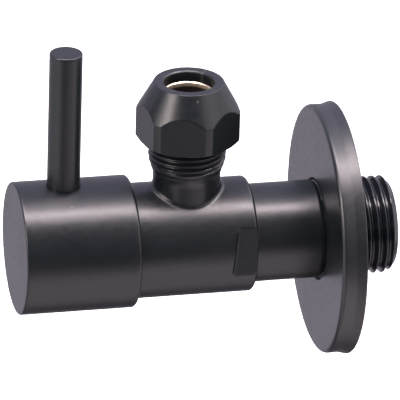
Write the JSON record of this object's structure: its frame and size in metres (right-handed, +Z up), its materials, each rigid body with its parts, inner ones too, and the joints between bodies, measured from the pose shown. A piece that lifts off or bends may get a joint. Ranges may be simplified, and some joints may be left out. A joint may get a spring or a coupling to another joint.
{
  "type": "angle stop valve",
  "caption": "Wall-mounted quarter-turn angle stop valve: round body, lever handle, sliding wall rosette, threaded inlet and compression outlet.",
  "frame": {"origin": "on the inlet axis, in the wall plane where the rosette's rim rests", "axes": "+X along the inlet into the wall, +Z up along the outlet, -Y to the side that shows the wrench flat"},
  "size_m": [0.0811, 0.0538, 0.0715],
  "materials": {
    "black_coat": "satin black coating on brass",
    "black_sheet": "satin black coating on drawn sheet",
    "bare_brass": "turned, bright",
    "steel": "stamped",
    "ceramic": "lapped ceramic",
    "seal_rubber": "moulded",
    "slide_plastic": "moulded",
    "gasket_fibre": "pressed fibre"
  },
  "bodies": {
    "valve": {"valve_body": "black_coat", "cartridge_housing": "bare_brass", "cartridge_gasket": "gasket_fibre", "fixed_disc": "ceramic", "seat_seal": "seal_rubber", "seal_support_ring": "slide_plastic"},
    "handle": {"handle_barrel": "black_coat", "lever_rod": "black_coat", "spline_insert": "bare_brass", "cartridge_spindle": "bare_brass", "spindle_o_rings": "seal_rubber", "thrust_washer": "slide_plastic", "stop_washer": "steel", "spindle_circlip": "steel", "rotating_disc": "ceramic"},
    "rosette": {"wall_rosette": "black_sheet"},
    "ferrule": {"compression_ferrule": "bare_brass"},
    "nut": {"compression_nut": "black_coat"}
  },
  "joints": [
    {"name": "handle_turn", "type": "hinge", "parent": "valve", "child": "handle", "pos_m": [-0.05, 0, 0], "axis": [1, 0, 0], "range_deg": [0, 90]},
    {"name": "rosette_slide", "type": "slide", "parent": "valve", "child": "rosette", "axis": [1, 0, 0], "range_m": [-0.0144, 0]},
    {"name": "ferrule_lift", "type": "slide", "parent": "valve", "child": "ferrule", "axis": [0, 0, 1], "range_m": [0, 0.004]},
    {"name": "nut_turn", "type": "hinge", "parent": "ferrule", "child": "nut", "pos_m": [-0.03355, 0, 0.03], "axis": [0, 0, 1], "range_deg": [0, 1077]}
  ],
  "couplings": [
    {"joint": "ferrule_lift", "follows": "nut_turn", "m_per_rad": 0.00021279}
  ]
}
